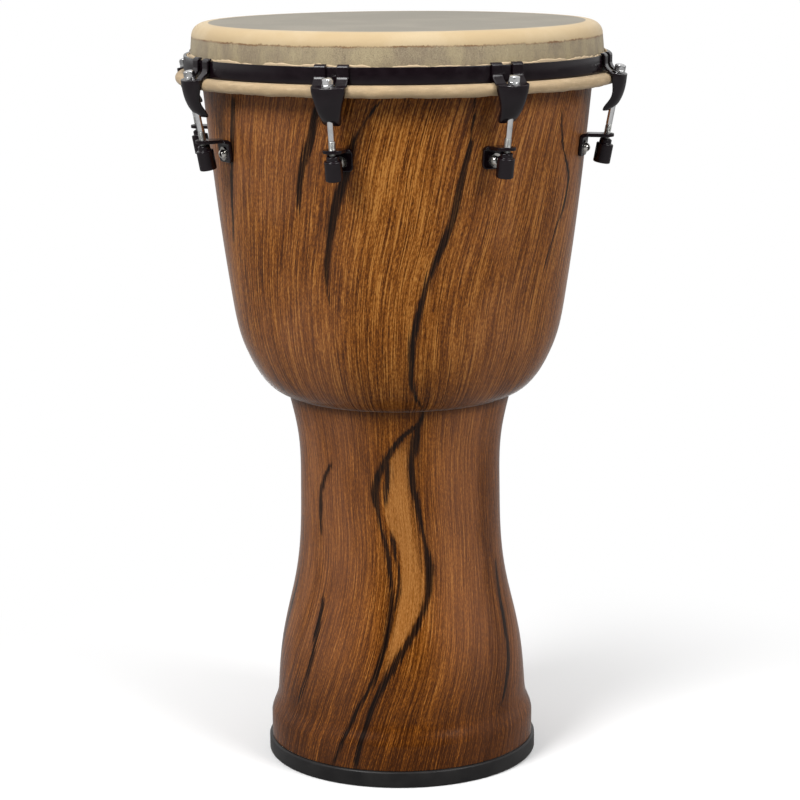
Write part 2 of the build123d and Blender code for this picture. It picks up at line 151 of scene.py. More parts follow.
# Rod head from its collar up: height above its seat and largest radius
HEAD_ROWS = (
    (0.0, 4.75),
    (0.9, 4.75),
    (1.0, 9.0),
    (1.25, 9.0),
    (3.0, 9.0),
    (4.6, 9.0),
    (5.0, 4.72),
    (5.35, 4.5),
    (5.8, 3.9),
    (6.25, 2.6),
    (6.45, 1.0),
)
WASHER = 1.1
HEAD_CLEARANCE = 0.15  # between a washer and the head that turns on it
CLAW_TOP_HEIGHT = 614.0
CLAW_PLATE = 2.4
CLAW_WALL = 2.3
CLAW_HOLE_RADIUS = 3.4
TAB_THICKNESS = 2.0
TAB_WIDTH = 10.0
TAB_OFFSET = 9.75  # from the lug's middle to a tab's middle
TAB_PATH = ((182.9, 630.2), (184.4, 628.2), (193.4, 622.6), (192.6, 613.5))
TAB_BENDS = (2.0, 7.0)

# Claw hood, level sections from the top down: height, back, front and width
HOOD_SECTIONS = (
    (614.0, 192.9, 202.9, 29.5),
    (611.0, 192.9, 202.6, 29.0),
    (603.0, 192.9, 201.6, 24.8),
    (596.0, 192.0, 199.7, 21.2),
    (590.5, 188.8, 197.2, 18.6),
    (586.5, 185.4, 194.2, 16.8),
    (583.2, 183.6, 189.6, 14.6),
    (581.9, 183.6, 187.0, 12.0),
)
HOOD_BULGE = 0.75  # share of the hood's depth that its half-oval front takes
HOOD_LEVEL_TOP = 611.6  # below it the hood's outer sections are level
HOLLOW_TOP = 609.5
HOLLOW_END = 586.5
HOLE_ENDS = (600, 625)

# How finely a painted piece is rebuilt, so that its edges come out soft
CLAW_VOXEL = 0.40
COATED_VOXEL = 0.36

ROUND_STEPS = 288  # round the drum
SKIN_STEPS = 720

# Camera and lights, in metres, degrees and watts; the lens and its sensor are in millimetres
CAMERA_PLACE = (0.0003, -2.2482, 0.7769)
CAMERA_DOWN = 11.47
CAMERA_ROLL = -0.42
CAMERA_LENS = 115.74
CAMERA_SENSOR = 36.0
LAMP_SIZE = 1.2
LAMPS = (
    ("key", (-1.5, -1.7, 2.3), (0, 0, 0.42), 68),
    ("fill", (1.7, -1.5, 1.9), (0, 0, 0.40), 37),
    ("top", (0.1, -0.4, 2.5), (0, 0, 0.60), 9),
)
FLOOR_REACH = 20.0


# ---------- meshes ----------


def through(points, spacing):
    """Points about a spacing apart on the natural cubic curve through the points."""
    count = len(points) - 1
    zero = Vector([0] * len(points[0]))
    step = [Vector(points[i + 1]) - Vector(points[i]) for i in range(count)]
    run = [s.length for s in step]
    second = [zero] * (count + 1)
    diagonal = [1.0] * (count + 1)
    right = [zero] * (count + 1)
    for i in range(1, count):
        lower = run[i - 1]
        share = lower / diagonal[i - 1] if i > 1 else 0.0
        diagonal[i] = 2 * (run[i - 1] + run[i]) - share * (run[i - 1] if i > 1 else 0.0)
        right[i] = 6 * (step[i] / run[i] - step[i - 1] / run[i - 1]) - share * right[i - 1]
    for i in range(count - 1, 0, -1):
        second[i] = (right[i] - run[i] * second[i + 1]) / diagonal[i]
    found = [Vector(points[0])]
    for i in range(count):
        pieces = max(1, round(run[i] / spacing))
        for piece in range(1, pieces + 1):
            b = piece / pieces
            a = 1 - b
            curve = a * Vector(points[i]) + b * Vector(points[i + 1])
            bend = (a**3 - a) * second[i] + (b**3 - b) * second[i + 1]
            found.append(curve + bend * run[i] ** 2 / 6)
    return found


def inside(curve):
    """The curve one wall inside an outer curve that runs upward."""
    found = []
    for i, point in enumerate(curve):
        along = (curve[min(i + 1, len(curve) - 1)] - curve[max(i - 1, 0)]).normalized()
        found.append(point + Vector((-along.y, along.x)) * WALL)
    return found


def arc(centre, radius, start, end, steps):
    """Points on an arc, with its angles in degrees from the outward direction."""
    angles = [radians(start + (end - start) * i / steps) for i in range(steps + 1)]
    return [Vector((centre[0] + radius * cos(a), centre[1] + radius * sin(a))) for a in angles]


def without_repeats(points):
    found = [Vector(points[0])]
    for point in map(Vector, points[1:]):
        if (point - found[-1]).length > 1e-4:
            found.append(point)
    if (found[0] - found[-1]).length < 1e-4:
        found.pop()
    return found


def new_object(name, data):
    thing = bpy.data.objects.new(name, data)
    bpy.context.scene.collection.objects.link(thing)
    return thing


def smooth(mesh, sharp_angle=35):
    mesh.shade_smooth()
    mesh.set_sharp_from_angle(angle=radians(sharp_angle))


def turned(name, outline, steps=ROUND_STEPS, shift=None, sharp_angle=35):
    """A closed solid of revolution about Z from a closed outline of (radius, height) points."""
    outline = without_repeats(outline)
    vertices = []
    rows = []
    for radius, height in outline:
        if radius < 1e-4:
            rows.append([len(vertices)] * steps)
            vertices.append(Vector((0, 0, height)) * MM)
            continue
        rows.append(list(range(len(vertices), len(vertices) + steps)))
        for i in range(steps):
            angle = 2 * pi * i / steps
            out, up = shift(angle, radius, height) if shift else (0.0, 0.0)
            r = radius + out
            vertices.append(Vector((r * cos(angle), r * sin(angle), height + up)) * MM)
    faces = []
    for low, high in zip(rows, rows[1:] + rows[:1]):
        for i in range(steps):
            j = (i + 1) % steps
            corners = [low[i], low[j], high[j], high[i]]
            face = [c for k, c in enumerate(corners) if c != corners[k - 1]]
            if len(face) > 2:
                faces.append(face)
    mesh = bpy.data.meshes.new(name)
    mesh.from_pydata(vertices, [], faces)
    fix_normals(mesh)
    smooth(mesh, sharp_angle)
    return new_object(name, mesh)


def fix_normals(mesh):
    work = bmesh.new()
    work.from_mesh(mesh)
    bmesh.ops.recalc_face_normals(work, faces=work.faces)
    work.to_mesh(mesh)
    work.free()


def lug_matrix(number):
    """From a lug that lies along +X to lug number 1 to 8."""
    return Matrix.Rotation(radians(FIRST_LUG_ANGLE + 360 / LUG_COUNT * (number - 1)), 4, "Z")


LEAN = radians(ROD_LEAN)
ROD_MATRIX = Matrix.Translation((ROD_FOOT[0] * MM, 0, ROD_FOOT[1] * MM)) @ Matrix.Rotation(LEAN, 4, "Y")


def along_rod(height):
    return (height - ROD_FOOT[1]) / cos(LEAN)


# ---------- material graphs ----------


class Graph:
    """A short way to write a material's nodes. A value may be a number, a colour or a socket."""

    def __init__(self, tree):
        self.nodes = tree.nodes
        self.links = tree.links
        self.nodes.clear()

    def put(self, socket, value):
        if isinstance(value, bpy.types.NodeSocket):
            self.links.new(value, socket)
        elif isinstance(value, tuple) and socket.type == "RGBA":
            socket.default_value = (*value, 1.0)
        else:
            socket.default_value = value

    def set(self, **values):
        for name, value in values.items():
            self.put(self.shader.inputs[name.replace("_", " ")], value)

    def math(self, operation, *values, clamp=False):
        node = self.nodes.new("ShaderNodeMath")
        node.operation = operation
        node.use_clamp = clamp
        for socket, value in zip(node.inputs, values):
            self.put(socket, value)
        return node.outputs[0]

    def add(self, a, b):
        return self.math("ADD", a, b)

    def times(self, a, b):
        return self.math("MULTIPLY", a, b)

    def most(self, values):
        """The largest of several values."""
        found = values[0]
        for value in values[1:]:
            found = self.math("MAXIMUM", found, value)
        return found

    def vector(self, x, y, z):
        node = self.nodes.new("ShaderNodeCombineXYZ")
        for socket, value in zip(node.inputs, (x, y, z)):
            self.put(socket, value)
        return node.outputs[0]

    def parts(self, vector):
        node = self.nodes.new("ShaderNodeSeparateXYZ")
        self.put(node.inputs[0], vector)
        return node.outputs

    def stretched(self, vector, x, y, z):
        node = self.nodes.new("ShaderNodeVectorMath")
        node.operation = "MULTIPLY"
        self.put(node.inputs[0], vector)
        node.inputs[1].default_value = (x, y, z)
        return node.outputs[0]

    def noise(self, vector, scale, detail=2.0, roughness=0.5, distortion=0.0):
        node = self.nodes.new("ShaderNodeTexNoise")
        self.put(node.inputs["Vector"], vector)
        self.put(node.inputs["Scale"], scale)
        self.put(node.inputs["Detail"], detail)
        self.put(node.inputs["Roughness"], roughness)
        self.put(node.inputs["Distortion"], distortion)
        return node.outputs["Fac"]

    def between(self, value, low, high, start=0.0, end=1.0):
        """From start to end, smoothly, as value goes from low to high."""
        node = self.nodes.new("ShaderNodeMapRange")
        node.interpolation_type = "SMOOTHSTEP"
        for name, number in (
            ("Value", value),
            ("From Min", low),
            ("From Max", high),
            ("To Min", start),
            ("To Max", end),
        ):
            self.put(node.inputs[name], number)
        return node.outputs["Result"]

    def mix(self, share, a, b, blend="MIX"):
        node = self.nodes.new("ShaderNodeMix")
        node.data_type = "RGBA"
        node.blend_type = blend
        self.put(node.inputs[0], share)
        self.put(node.inputs[6], a)
        self.put(node.inputs[7], b)
        return node.outputs[2]

    def layered(self, colour, *layers):
        """A colour under layers of (texture, where it starts, where it is full, amount, colour)."""
        for texture, start, full, amount, over in layers:
            colour = self.mix(self.between(texture, start, full, 0.0, amount), colour, over)
        return colour

    def colours(self, value, *stops):
        """A colour ramp through (place, colour) stops."""
        node = self.nodes.new("ShaderNodeValToRGB")
        ramp = node.color_ramp.elements
        while len(ramp) < len(stops):
            ramp.new(0.5)
        for element, (place, colour) in zip(ramp, stops):
            element.position = place
            element.color = (*colour, 1.0)
        self.put(node.inputs[0], value)
        return node.outputs[0]

    def curve(self, value, points):
        """A smooth curve through (input, output) points from 0 to 1."""
        node = self.nodes.new("ShaderNodeFloatCurve")
        self.put(node.inputs["Value"], value)
        line = node.mapping.curves[0].points
        line[0].location = points[0]
        line[1].location = points[-1]
        for point in points[1:-1]:
            line.new(*point)
        node.mapping.extend = "HORIZONTAL"
        node.mapping.update()
        return node.outputs[0]

    def bump(self, height, distance, strength=1.0):
        node = self.nodes.new("ShaderNodeBump")
        node.inputs["Strength"].default_value = strength
        node.inputs["Distance"].default_value = distance
        self.put(node.inputs["Height"], height)
        self.put(self.shader.inputs["Normal"], node.outputs[0])

    def length(self, vector):
        node = self.nodes.new("ShaderNodeVectorMath")
        node.operation = "LENGTH"
        self.put(node.inputs[0], vector)
        return node.outputs["Value"]


class Finish(Graph):
    """The graph of a new material with one Principled shader."""

    def __init__(self, name):
        self.material = bpy.data.materials.new(name)
        self.material.use_nodes = True
        super().__init__(self.material.node_tree)
        self.shader = self.nodes.new("ShaderNodeBsdfPrincipled")
        self.output = self.nodes.new("ShaderNodeOutputMaterial")
        self.links.new(self.shader.outputs[0], self.output.inputs[0])
        self.place = self.nodes.new("ShaderNodeTexCoord").outputs["Object"]


# ---------- painted wood-grain shell ----------

# How far the grain leans with height: (height, azimuth shift)
GRAIN_LEAN = (
    (0, -20),
    (60, -12),
    (100, -5),
    (140, 0),
    (200, 3),
    (250, 1),
    (300, 0),
    (390, 0),
    (433, 1),
    (500, 6),
    (560, 10),
    (604, 14),
    (656, 19),
)

# Dark veins of the painted grain. A route is (height, azimuth, half width) from the bottom up,
# given to 5 mm, a degree and half a millimetre.
BOWL_VEINS = (
    ((505, -31, 0), (530, -30, 2), (550, -28, 3), (575, -25, 3), (600, -22, 2)),
    ((430, -23, 0), (450, -23, 1), (475, -22, 3), (535, -16, 4), (580, -10, 1), (605, -3, 0.5)),
    (
        (335, 10, 1),
        (350, 6, 1.5),
        (380, 4, 2),
        (420, 6, 2.5),
        (465, 11, 2.5),
        (490, 15, 3),
        (540, 19, 2.5),
        (570, 21, 1),
        (605, 22, 0),
    ),
    ((450, 54, 0), (480, 58, 1), (520, 64, 2), (560, 57, 1), (585, 55, 0)),
    ((470, -66, 0), (490, -64, 1.5), (555, -58, 2.5), (600, -54, 2.5)),
    ((380, 98, 0), (420, 101, 2), (480, 104, 3), (540, 111, 3), (605, 118, 1.5)),
    ((440, 140, 0), (475, 143, 2.5), (530, 148, 2), (600, 156, 1)),
    ((335, 166, 1), (380, 163, 2), (440, 162, 3), (500, 166, 2.5), (545, 170, 0)),
    ((400, -98, 0), (450, -96, 2.5), (520, -90, 3), (605, -83, 1.5)),
    ((335, -128, 1.5), (390, -131, 2.5), (450, -130, 3), (520, -125, 2), (570, -121, 0)),
    ((480, -158, 0), (520, -155, 2), (560, -151, 2.5), (605, -146, 1.5)),
)
STEM_LEFT_VEIN = (
    (15, -31, 1.5),
    (60, -22, 1.5),
    (105, -11, 2),
    (160, -5, 2.5),
    (200, -7, 1.5),
    (235, -12, 1),
    (260, -14, 3),
    (285, -8, 3),
    (305, 0, 2.5),
    (320, 10, 2.5),
    (330, 12, 1.5),
)
STEM_RIGHT_VEIN = (
    (15, -20, 1.5),
    (60, -15, 2),
    (105, -4, 3),
    (155, 12, 2.5),
    (185, 16, 3),
    (225, 12, 1.5),
    (270, 7, 2.5),
    (300, 8, 3),
    (325, 11, 1),
)
STEM_INNER_VEINS = (
    ((245, -8, 0), (255, -8, 1), (275, -7, 2), (290, -7, 1)),
    ((150, -4, 0), (175, -1, 1.5), (205, -3, 1.5), (220, -5, 0.5)),
)
# The golden patch between the stem's two long veins: (height, azimuth)
PATCH_LEFT_EDGE = ((90, -11), (130, -5), (165, -1), (200, 0), (240, -9), (285, -5), (310, 5))
PATCH_RIGHT_EDGE = ((90, -11), (130, 2), (165, 12), (210, 8), (245, 5), (285, 4), (310, 6))
STEM_VEINS = (
    STEM_LEFT_VEIN,
    STEM_RIGHT_VEIN,
    *STEM_INNER_VEINS,
    ((210, -50, 0), (235, -52, 2), (260, -49, 2.5), (280, -41, 0)),
    ((60, -55, 0), (95, -48, 1.5), (130, -46, 2), (160, -46, 0)),
    ((50, 48, 0), (90, 60, 1.5), (120, 63, 2), (150, 65, 2), (185, 67, 0)),
    ((40, 104, 1), (90, 112, 2), (150, 122, 2.5), (220, 124, 2), (290, 118, 0)),
    ((150, 158, 0), (200, 156, 2.5), (260, 160, 2), (325, 167, 1)),
    ((15, -168, 1.5), (60, -160, 2), (110, -150, 2.5), (170, -142, 2), (220, -141, 0)),
    ((130, -112, 0), (180, -106, 2), (240, -108, 2.5), (325, -120, 1)),
    ((35, -92, 1), (80, -86, 2), (130, -79, 1.5), (170, -77, 0)),
)

# Painted shade, where the paint is darker towards the foot, under the bowl at the waist and
# under the head's roll at the rim, with some darker burst finish in it at the foot and rim:
# the height where it starts, where it is full, and how much
PAINTED_SHADES = ((150.0, 20.0, 0.26), (372.0, 336.0, 0.10), (575.0, 612.0, 0.10))
STEM_TO_BOWL = (300.0, 420.0)  # the grain changes strength between these heights
CREASE_SHADE = ((322.0, 329.0), (331.0, 340.0))  # where the painted shade in the waist's crease comes, and where it fades to a weaker darkening of the bowl

GRAIN_RADIUS = 0.14
FRAY = 13.0  # how far a vein's edge strays, in millimetres
WIDEST = 10.0  # half widths are stored as shares of this
LEAN_SPAN = 60.0


def route_curve(graph, height, route, column, low, span):
    """A route's azimuth or half width as a value of height."""
    points = [(row[0] / HEIGHT, (row[column] - low) / span) for row in route]
    share = graph.curve(graph.times(height, 1 / HEIGHT), points)
    return graph.add(graph.times(share, span), low)


def vein_mask(graph, height, azimuth, radius, fray, route):
    """How dark one vein makes the paint, and how dark the stain beside it is."""
    centre = route_curve(graph, height, route, 1, -180.0, 360.0)
    half = route_curve(graph, height, route, 2, 0.0, WIDEST)
    ends = graph.times(
        graph.between(height, route[0][0] - 6, route[0][0] + 6),
        graph.between(height, route[-1][0] + 6, route[-1][0] - 6),
    )
    turn = graph.math("ABSOLUTE", graph.math("SUBTRACT", azimuth, centre))
    distance = graph.math("MULTIPLY_ADD", turn, graph.times(radius, pi / 180), fray)
    core = graph.between(distance, graph.math("MULTIPLY_ADD", half, 1.15, 1.1), graph.times(half, 0.75))
    stain = graph.between(distance, graph.math("MULTIPLY_ADD", half, 3.4, 1.5), 0.0)
    return graph.times(core, ends), graph.times(stain, ends)


def grain_textures(graph, height, turn, z):
    """The noises of the grain, which all run along its lean."""
    lean = [(h / HEIGHT, (shift + LEAN_SPAN / 2) / LEAN_SPAN) for h, shift in GRAIN_LEAN]
    share = graph.curve(graph.times(height, 1 / HEIGHT), lean)
    shift = graph.add(graph.times(share, LEAN_SPAN), -LEAN_SPAN / 2)
    grain_turn = graph.math("SUBTRACT", turn, graph.times(shift, pi / 180))

    def around(angle):
        """A seamless place on a drum of one radius, so that grain has one scale everywhere."""
        across = graph.times(graph.math("SINE", angle), GRAIN_RADIUS)
        return graph.vector(across, graph.times(graph.math("COSINE", angle), GRAIN_RADIUS), z)

    straight = around(grain_turn)
    waver = graph.noise(graph.stretched(straight, 1, 1, 0.35), 14.0, 2.0)
    wavy = around(graph.add(grain_turn, graph.times(graph.add(waver, -0.5), 0.07)))
    return {
        "broad": graph.noise(graph.stretched(wavy, 1, 1, 0.12), 26.0, 3.0, 0.55),
        "cloud": graph.noise(graph.stretched(straight, 1, 1, 0.5), 11.0, 3.0, 0.55),
        "streak": graph.noise(graph.stretched(wavy, 1, 1, 0.022), 380.0, 3.0, 0.65),
        "fibre": graph.noise(graph.stretched(wavy, 1, 1, 0.018), 1050.0, 2.0, 0.65),
        "pores": graph.noise(graph.stretched(wavy, 1, 1, 0.30), 1100.0, 2.0, 0.6),
        "frayed": graph.noise(graph.stretched(wavy, 1, 1, 0.045), 420.0, 4.0, 0.72),
    }


def plain_grain(graph, height, turn, grain):
    """The brown grain, with painted shade at its ends and at the waist, and a painted pale sheen on the
    flanks.
    """
    tone = 0.0
    amounts = {"broad": 0.42, "cloud": 0.60, "streak": 0.95, "fibre": 2.3, "pores": 1.5}
    for name, amount in amounts.items():
        tone = graph.math("MULTIPLY_ADD", graph.add(grain[name], -0.5), amount, tone)
    strength = graph.between(height, *STEM_TO_BOWL, 0.92, 1.05)
    tone = graph.math("MULTIPLY_ADD", tone, strength, graph.between(height, *STEM_TO_BOWL, 0.46, 0.535))
    # painted shade: darker towards the foot, under the bowl at the waist and under the roll at the rim
    for start, full, amount in PAINTED_SHADES:
        tone = graph.math("SUBTRACT", tone, graph.between(height, start, full, 0.0, amount))
    base = graph.colours(
        tone,
        (0.04, (0.050, 0.0135, 0.0020)),
        (0.28, (0.122, 0.0345, 0.0036)),
        (0.50, (0.215, 0.0660, 0.0070)),
        (0.72, (0.345, 0.1170, 0.0160)),
        (0.96, (0.540, 0.2300, 0.0480)),
    )
    # Painted sheen: a pale mauve haze on the drum's left and right flanks, in patches and weaker towards
    # the foot, in place of the lamps' soft reflection
    flank = graph.math("ABSOLUTE", graph.math("SINE", turn))
    sheen_patches = graph.between(grain["cloud"], 0.36, 0.60, 0.20, 1.0)
    painted_sheen = graph.times(graph.between(flank, 0.12, 0.55), sheen_patches)
    painted_sheen = graph.times(painted_sheen, graph.between(height, 40.0, 150.0, 0.25, 1.0))
    return graph.mix(graph.times(painted_sheen, 0.30), base, (0.315, 0.145, 0.088))


def with_golden_patch(graph, height, azimuth, grain, fray, base):
    """The pale figure on the stem, which has a sharp left edge and a softer right one."""
    left = route_curve(graph, height, PATCH_LEFT_EDGE, 1, -180.0, 360.0)
    right = route_curve(graph, height, PATCH_RIGHT_EDGE, 1, -180.0, 360.0)
    ragged = graph.times(fray, 0.12)
    from_left = graph.add(graph.math("SUBTRACT", azimuth, left), ragged)
    from_right = graph.add(graph.math("SUBTRACT", right, azimuth), ragged)
    streaks = graph.between(grain["streak"], 0.40, 0.62, 0.75, 0.10)
    soft = graph.times(graph.between(from_right, -5.0, 0.0), streaks)
    golden = graph.between(from_left, -0.4, 0.9)
    golden = graph.times(golden, graph.most([graph.between(from_right, -0.6, 1.2), soft]))
    for end, full in ((0, 1), (-1, -2)):
        fade = graph.between(height, PATCH_LEFT_EDGE[end][0], PATCH_LEFT_EDGE[full][0])
        golden = graph.times(golden, fade)
    speckle = graph.add(graph.times(grain["pores"], 1.1), graph.times(graph.add(grain["fibre"], -0.5), 0.7))
    gold = graph.colours(
        graph.math("MULTIPLY_ADD", graph.add(grain["streak"], -0.5), 0.35, speckle),
        (0.26, (0.170, 0.058, 0.009)),
        (0.52, (0.345, 0.130, 0.026)),
        (0.80, (0.500, 0.225, 0.062)),
    )
    return graph.mix(graph.times(golden, 0.96), base, gold)


def with_veins(graph, height, azimuth, radius, grain, fray, base):
    """The painted shade in the crease at the waist, and the veins with the stain beside each."""
    masks = [vein_mask(graph, height, azimuth, radius, fray, route) for route in BOWL_VEINS + STEM_VEINS]
    dark = graph.most([mask[0] for mask in masks])
    stain = graph.most([mask[1] for mask in masks])
    # Painted shade: dark in the crease at the waist, weaker over the bowl above it
    (crease_start, crease_full), (fade_start, fade_end) = CREASE_SHADE
    above_waist = graph.between(height, fade_start, fade_end, 1.0, 0.30)
    waist_shade = graph.times(graph.between(height, crease_start, crease_full), above_waist)
    base = graph.mix(graph.times(waist_shade, 0.40), base, (0.040, 0.014, 0.005))
    stained = graph.times(stain, graph.between(grain["streak"], 0.34, 0.60, 0.60, 0.15))
    base = graph.mix(stained, base, (0.045, 0.0165, 0.0070))
    veined = graph.times(dark, graph.between(grain["fibre"], 0.32, 0.74, 1.0, 0.80))
    return graph.mix(veined, base, (0.0070, 0.0036, 0.0026))


def painted_wood():
    graph = Finish("painted_wood")
    x, y, z = graph.parts(graph.place)
    height = graph.times(z, 1 / MM)
    radius = graph.times(graph.length(graph.vector(x, y, 0.0)), 1 / MM)
    turn = graph.math("ARCTAN2", x, graph.times(y, -1.0))
    azimuth = graph.times(turn, 180 / pi)
    grain = grain_textures(graph, height, turn, z)
    fray = graph.times(graph.add(grain["frayed"], -0.5), FRAY)
    base = plain_grain(graph, height, turn, grain)
    base = with_golden_patch(graph, height, azimuth, grain, fray, base)
    base = with_veins(graph, height, azimuth, radius, grain, fray, base)
    gloss = graph.between(grain["fibre"], 0.3, 0.7, 0.24, 0.34)
    graph.set(Base_Color=base, Roughness=gloss, Specular_IOR_Level=0.14)
    graph.set(Sheen_Weight=0.60, Sheen_Roughness=0.20)
    graph.bump(graph.add(grain["fibre"], grain["pores"]), 0.00012, 0.5)
    return graph.material


def fibre_inside():
    """The bare moulded inside of the shell."""
    graph = Finish("shell_inside")
    mottle = graph.noise(graph.place, 60.0, 4.0, 0.6)
    strands = graph.noise(graph.stretched(graph.place, 1, 1, 0.2), 420.0, 3.0, 0.6)
    colour = graph.colours(mottle, (0.3, (0.030, 0.024, 0.019)), (0.7, (0.070, 0.056, 0.043)))
    graph.set(Base_Color=colour, Roughness=graph.between(strands, 0.3, 0.7, 0.6, 0.8))
    graph.bump(graph.add(mottle, graph.times(strands, 0.4)), 0.0006, 0.6)
    return graph.material


# ---------- other materials ----------


def skin_textures(graph):
    place = graph.place
    return {
        "fine": graph.noise(place, 900.0, 3.0, 0.7),
        "speck": graph.noise(place, 1500.0, 3.0, 0.8),
        "cloud": graph.noise(place, 16.0, 4.0, 0.55),
        "blotch": graph.noise(graph.stretched(place, 1, 1, 0.45), 42.0, 5.0, 0.65),
        "strands": graph.noise(graph.stretched(place, 1, 1, 0.16), 700.0, 3.0, 0.65),
        "creases": graph.noise(graph.stretched(place, 0.22, 0.22, 1), 330.0, 3.0, 0.6),
        "fray": graph.noise(graph.stretched(place, 1, 1, 0.5), 430.0, 4.0, 0.8),
        "edge": graph.noise(place, 24.0, 2.0, 0.5),
    }


def skin_colours(graph, hide):
    """The colours of the playing patch, the band round it, the collar and the roll."""
    cloud, blotch, speck, creases = hide["cloud"], hide["blotch"], hide["speck"], hide["creases"]
    patch = graph.layered(
        (0.213, 0.190, 0.144),
        (cloud, 0.40, 0.64, 1.0, (0.250, 0.220, 0.168)),
        (hide["fine"], 0.35, 0.70, 0.40, (0.160, 0.140, 0.108)),
    )
    band = graph.layered(
        (0.500, 0.370, 0.205),
        (cloud, 0.38, 0.66, 1.0, (0.548, 0.428, 0.262)),
        (speck, 0.50, 0.72, 0.45, (0.430, 0.300, 0.150)),
    )
    collar = graph.layered(
        (0.375, 0.302, 0.178),
        (blotch, 0.38, 0.62, 1.0, (0.262, 0.205, 0.132)),
        (cloud, 0.52, 0.66, 0.60, (0.205, 0.160, 0.115)),
        (hide["strands"], 0.50, 0.75, 0.35, (0.460, 0.380, 0.240)),
        (speck, 0.52, 0.30, 0.85, (0.110, 0.083, 0.055)),
        (speck, 0.52, 0.72, 0.60, (0.520, 0.440, 0.290)),
    )
    roll = graph.layered(
        (0.470, 0.334, 0.186),
        (blotch, 0.36, 0.64, 1.0, (0.410, 0.296, 0.168)),
        (creases, 0.46, 0.34, 0.26, (0.270, 0.200, 0.120)),
        (creases, 0.52, 0.68, 0.28, (0.660, 0.500, 0.310)),
        (speck, 0.50, 0.32, 0.34, (0.190, 0.130, 0.075)),
    )
    return patch, band, collar, roll


def band_on_collar(graph, height, hide, band, collar):
    """The collar with the band above it and a torn brown line between them."""
    slow = graph.times(graph.add(hide["edge"], -0.5), 2.2)
    quick = graph.times(graph.add(hide["fray"], -0.5), 5.0)
    line = graph.add(height, graph.add(slow, quick))
    colour = graph.mix(graph.between(line, BAND_LOW - 0.35, BAND_LOW + 0.25), collar, band)
    line_low = graph.between(line, BAND_LOW - 1.2, BAND_LOW - 0.3)
    line_high = graph.between(line, BAND_LOW + 0.9, BAND_LOW + 0.1)
    uneven = graph.between(hide["blotch"], 0.38, 0.60, 0.35, 1.0)
    torn = graph.times(graph.times(line_low, line_high), uneven)
    return graph.mix(torn, colour, (0.180, 0.085, 0.030))


def goatskin():
    graph = Finish("drumhead_skin")
    x, y, z = graph.parts(graph.place)
    height = graph.times(z, 1 / MM)
    radius = graph.times(graph.length(graph.vector(x, y, 0.0)), 1 / MM)
    hide = skin_textures(graph)
    patch, band, collar, roll = skin_colours(graph, hide)
    colour = band_on_collar(graph, height, hide, band, collar)

    rim = graph.add(radius, graph.times(graph.add(hide["edge"], -0.5), 0.8))
    inside_rim = graph.between(rim, PATCH_RADIUS + 0.45, PATCH_RADIUS - 0.45)
    on_top = graph.times(inside_rim, graph.between(height, 650.0, 654.0))
    colour = graph.mix(on_top, colour, patch)
    below = graph.between(height, 615.0, 614.0)
    outer_layer = graph.most([graph.between(radius, 180.2, 180.7), below])
    outer_layer = graph.times(outer_layer, graph.between(height, 636.0, 633.0))
    colour = graph.mix(outer_layer, colour, roll)
    tip = graph.times(outer_layer, graph.between(height, 626.0, 629.0))
    colour = graph.mix(graph.times(tip, 0.75), colour, (0.660, 0.510, 0.330))
    graph.set(Base_Color=colour, Roughness=0.62, Specular_IOR_Level=0.35)
    graph.set(Sheen_Weight=0.12, Sheen_Roughness=0.5)

    pulled = graph.times(hide["strands"], graph.between(height, 650.0, 643.0, 0.0, 0.8))
    relief = graph.add(graph.times(graph.add(hide["fine"], hide["creases"]), 0.30), pulled)
    graph.bump(relief, 0.00035, 0.5)
    return graph.material


def black_coating():
    graph = Finish("black_coating")
    peel = graph.noise(graph.place, 900.0, 3.0, 0.55)
    worn = graph.noise(graph.place, 120.0, 4.0, 0.6)
    colour = graph.colours(worn, (0.35, (0.0050, 0.0020, 0.0036)), (0.75, (0.0090, 0.0045, 0.0068)))
    graph.set(Base_Color=colour, Roughness=graph.between(worn, 0.35, 0.7, 0.17, 0.26))
    graph.set(Specular_IOR_Level=0.34)
    graph.bump(peel, 0.00008, 0.5)
    return graph.material


def plating(name, colour, roughness):
    graph = Finish(name)
    smear = graph.noise(graph.place, 260.0, 3.0, 0.6)
    scratch = graph.noise(graph.stretched(graph.place, 1, 1, 0.08), 2600.0, 2.0, 0.6)
    dull = tuple(c * 0.72 for c in colour)
    graph.set(Base_Color=graph.mix(graph.between(smear, 0.45, 0.72, 0.0, 0.6), colour, dull))
    graph.set(Metallic=1.0, Roughness=graph.between(smear, 0.3, 0.7, roughness * 0.8, roughness * 1.4))
    graph.bump(scratch, 0.00003, 0.5)
    return graph.material


def ring_rubber():
    graph = Finish("ring_rubber")
    grain = graph.noise(graph.place, 1400.0, 3.0, 0.6)
    dust = graph.noise(graph.place, 45.0, 4.0, 0.6)
    colour = graph.colours(dust, (0.35, (0.0090, 0.0082, 0.0085)), (0.72, (0.0200, 0.0185, 0.0180)))
    graph.set(Base_Color=colour, Roughness=graph.between(dust, 0.35, 0.7, 0.36, 0.48))
    graph.set(Specular_IOR_Level=0.3)
    graph.bump(grain, 0.00010, 0.5)
    return graph.material


wood = painted_wood()
shell_inside = fibre_inside()
skin_leather = goatskin()
coating = black_coating()
chrome = plating("bright_plating", (0.80, 0.80, 0.80), 0.16)
thread_steel = plating("plain_steel", (0.58, 0.58, 0.56), 0.34)
nickel = plating("bolt_nickel", (0.66, 0.64, 0.60), 0.22)
rubber = ring_rubber()


# ---------- shell and base ring ----------


def paint(thing, *materials):
    """Gives a mesh its materials, the first one everywhere."""
    thing.data.materials.clear()
    for material in materials:
        thing.data.materials.append(material)


def paint_inside(thing, radius_of):
    """Gives the second material to the faces nearer the axis than the wall's middle."""
    for face in thing.data.polygons:
        height = face.center.z / MM
        if hypot(face.center.x, face.center.y) / MM < radius_of(height) - WALL / 2 - 0.2:
            face.material_index = 1


def radius_lookup(curve):
    """The outer radius at a height, from a curve of (radius, height) points."""

    def at(height):
        for low, high in zip(curve, curve[1:]):
            if height <= high.y:
                share = max(0.0, (height - low.y) / (high.y - low.y))
                return low.x + (high.x - low.x) * share
        return curve[-1].x

    return at


